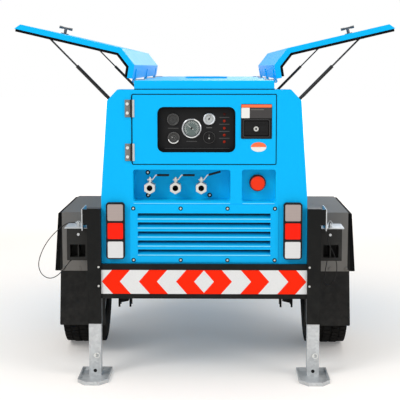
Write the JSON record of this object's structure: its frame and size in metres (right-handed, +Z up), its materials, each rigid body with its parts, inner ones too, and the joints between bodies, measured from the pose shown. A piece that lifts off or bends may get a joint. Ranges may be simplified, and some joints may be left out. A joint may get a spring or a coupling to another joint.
{
  "type": "towable diesel air compressor",
  "caption": "Single-axle towable machine with gull-wing canopy doors, rear control panel, outlet valves, jack legs and a drawbar with tow eye.",
  "frame": {"origin": "on the ground under the middle of the machine's length and width", "axes": "+Z up, +Y along the drawbar to the tow eye, +X to the right seen from the control end"},
  "size_m": [1.6874, 3.38, 1.5985],
  "materials": {
    "steel_black": "semi-gloss black paint",
    "body_blue": "gloss blue paint",
    "fender_grey": "satin grey paint",
    "galvanised": "hot-dip galvanised",
    "board": "reflective white with red chevrons",
    "tyre": "matte",
    "rim_grey": "satin silver paint",
    "wire": "coated wire rope",
    "plastic_black": "moulded, fine grain",
    "lamp": "red, amber and clear lenses in a black housing",
    "panel_black": "satin black paint",
    "instrument": "chromed bezels and dials",
    "red_plastic": "gloss red",
    "chrome": "nickel-plated brass and steel",
    "cast_engine": "painted casting",
    "cast_air": "painted casting",
    "vessel": "satin paint",
    "cooler": "finned core",
    "tank": "moulded tank",
    "zinc": "zinc-plated",
    "strut": "gloss black paint"
  },
  "bodies": {
    "chassis": {"air_cleaners": "plastic_black", "air_receiver": "vessel", "axle_beam": "steel_black", "battery": "plastic_black", "canopy_base": "steel_black", "chassis_rails": "steel_black", "chevron_board": "board", "chock_brackets": "galvanised", "cooler": "cooler", "cross_members": "steel_black", "diesel_engine": "cast_engine", "drawbar_arms": "steel_black", "exhaust_silencer": "vessel", "fenders": "fender_grey", "front_panel": "body_blue", "fuel_tank": "tank", "hinge_leaves": "steel_black", "instrument_panel": "panel_black", "jack_posts": "steel_black", "leaf_springs": "steel_black", "left_lanyard": "wire", "lifting_frame": "steel_black", "louvre_panel": "body_blue", "mudflaps": "plastic_black", "outlet_valves": "chrome", "panel_bolts": "zinc", "panel_instruments": "instrument", "rear_panel": "body_blue", "right_lanyard": "wire", "roof_panel": "body_blue", "screw_airend": "cast_air", "side_panels": "body_blue", "stop_recess": "body_blue", "tail_lamps": "lamp", "tow_eye": "steel_black", "valve_recess": "body_blue", "wheel_chocks": "plastic_black"},
    "left door": {"left_door": "body_blue"},
    "left door handle": {"left_door_handle": "zinc"},
    "left strut cylinders": {"left_strut_cylinders": "strut"},
    "left strut rods": {"left_strut_rods": "strut"},
    "left wheel": {"left_tyre": "tyre", "left_wheel_rim": "rim_grey"},
    "left jack leg": {"left_jack_leg": "galvanised"},
    "right door": {"right_door": "body_blue"},
    "right door handle": {"right_door_handle": "zinc"},
    "right strut cylinders": {"right_strut_cylinders": "strut"},
    "right strut rods": {"right_strut_rods": "strut"},
    "right wheel": {"right_tyre": "tyre", "right_wheel_rim": "rim_grey"},
    "right jack leg": {"right_jack_leg": "galvanised"},
    "control door": {"control_door": "body_blue"},
    "latch paddle": {"latch_paddle": "panel_black"},
    "start switch": {"start_switch": "plastic_black"},
    "stop button": {"stop_button": "red_plastic"},
    "valve lever 1": {"valve_lever_1": "zinc"},
    "valve lever 2": {"valve_lever_2": "zinc"},
    "valve lever 3": {"valve_lever_3": "zinc"},
    "front stand leg": {"front_stand_leg": "galvanised"},
    "cooling fan": {"cooling_fan": "plastic_black"}
  },
  "joints": [
    {"name": "left door hinge", "type": "hinge", "parent": "chassis", "child": "left door", "pos_m": [-0.324, 0, 1.316], "axis": [0, -1, 0], "range_deg": [0, 99.1]},
    {"name": "left door handle turn", "type": "hinge", "parent": "left door", "child": "left door handle", "pos_m": [-0.75191, -0.428, 1.55285], "axis": [0.2265, 0, 0.974], "range_deg": [0, 90]},
    {"name": "left strut pivot", "type": "hinge", "parent": "chassis", "child": "left strut cylinders", "pos_m": [-0.396, 0, 1.206], "axis": [0, -1, 0], "range_deg": [0, 122.95]},
    {"name": "left strut stroke", "type": "slide", "parent": "left strut cylinders", "child": "left strut rods", "axis": [-0.7013, 0, 0.7129], "range_m": [-0.1336, 0]},
    {"name": "left wheel spin", "type": "hinge", "parent": "chassis", "child": "left wheel", "pos_m": [-0.594, -0.848, 0.318], "axis": [1, 0, 0], "continuous": true},
    {"name": "left jack slide", "type": "slide", "parent": "chassis", "child": "left jack leg", "axis": [0, 0, 1], "range_m": [0, 0.12]},
    {"name": "right door hinge", "type": "hinge", "parent": "chassis", "child": "right door", "pos_m": [0.324, 0, 1.316], "axis": [0, 1, 0], "range_deg": [0, 99.1]},
    {"name": "right door handle turn", "type": "hinge", "parent": "right door", "child": "right door handle", "pos_m": [0.75191, -0.428, 1.55285], "axis": [-0.2265, 0, 0.974], "range_deg": [0, 90]},
    {"name": "right strut pivot", "type": "hinge", "parent": "chassis", "child": "right strut cylinders", "pos_m": [0.396, 0, 1.206], "axis": [0, 1, 0], "range_deg": [0, 122.95]},
    {"name": "right strut stroke", "type": "slide", "parent": "right strut cylinders", "child": "right strut rods", "axis": [0.7013, 0, 0.7129], "range_m": [-0.1336, 0]},
    {"name": "right wheel spin", "type": "hinge", "parent": "chassis", "child": "right wheel", "pos_m": [0.594, -0.848, 0.318], "axis": [1, 0, 0], "continuous": true},
    {"name": "right jack slide", "type": "slide", "parent": "chassis", "child": "right jack leg", "axis": [0, 0, 1], "range_m": [0, 0.12]},
    {"name": "control door hinge", "type": "hinge", "parent": "chassis", "child": "control door", "pos_m": [-0.3205, -1.517, 1.1025], "axis": [0, 0, -1], "range_deg": [0, 110]},
    {"name": "latch paddle pull", "type": "hinge", "parent": "control door", "child": "latch paddle", "pos_m": [0.23, -1.504, 1.14], "axis": [-1, 0, 0], "range_deg": [0, 30], "stiffness_Nm_per_rad": 0.6},
    {"name": "start switch turn", "type": "hinge", "parent": "chassis", "child": "start switch", "pos_m": [0.022, -1.488, 1.07], "axis": [0, 1, 0], "range_deg": [0, 90]},
    {"name": "stop button push", "type": "slide", "parent": "chassis", "child": "stop button", "axis": [0, 1, 0], "range_m": [0, 0.006], "stiffness_N_per_m": 1500},
    {"name": "front stand slide", "type": "slide", "parent": "chassis", "child": "front stand leg", "axis": [0, 0, 1], "range_m": [0, 0.25]},
    {"name": "fan spin", "type": "hinge", "parent": "chassis", "child": "cooling fan", "pos_m": [0, 0.132, 0.88], "axis": [0, 1, 0], "continuous": true},
    {"name": "valve lever 1 turn", "type": "hinge", "parent": "chassis", "child": "valve lever 1", "pos_m": [-0.243, -1.45, 0.9], "axis": [0, 0, -1], "range_deg": [0, 90]},
    {"name": "valve lever 2 turn", "type": "hinge", "parent": "chassis", "child": "valve lever 2", "pos_m": [-0.128, -1.45, 0.9], "axis": [0, 0, -1], "range_deg": [0, 90]},
    {"name": "valve lever 3 turn", "type": "hinge", "parent": "chassis", "child": "valve lever 3", "pos_m": [-0.013, -1.45, 0.9], "axis": [0, 0, -1], "range_deg": [0, 90]}
  ],
  "couplings": [
    {"joint": "left strut pivot", "follows": "left door hinge", "ratio": 1.2406},
    {"joint": "left strut stroke", "follows": "left door hinge", "m_per_rad": -0.077239},
    {"joint": "right strut pivot", "follows": "right door hinge", "ratio": 1.2406},
    {"joint": "right strut stroke", "follows": "right door hinge", "m_per_rad": -0.077239}
  ]
}
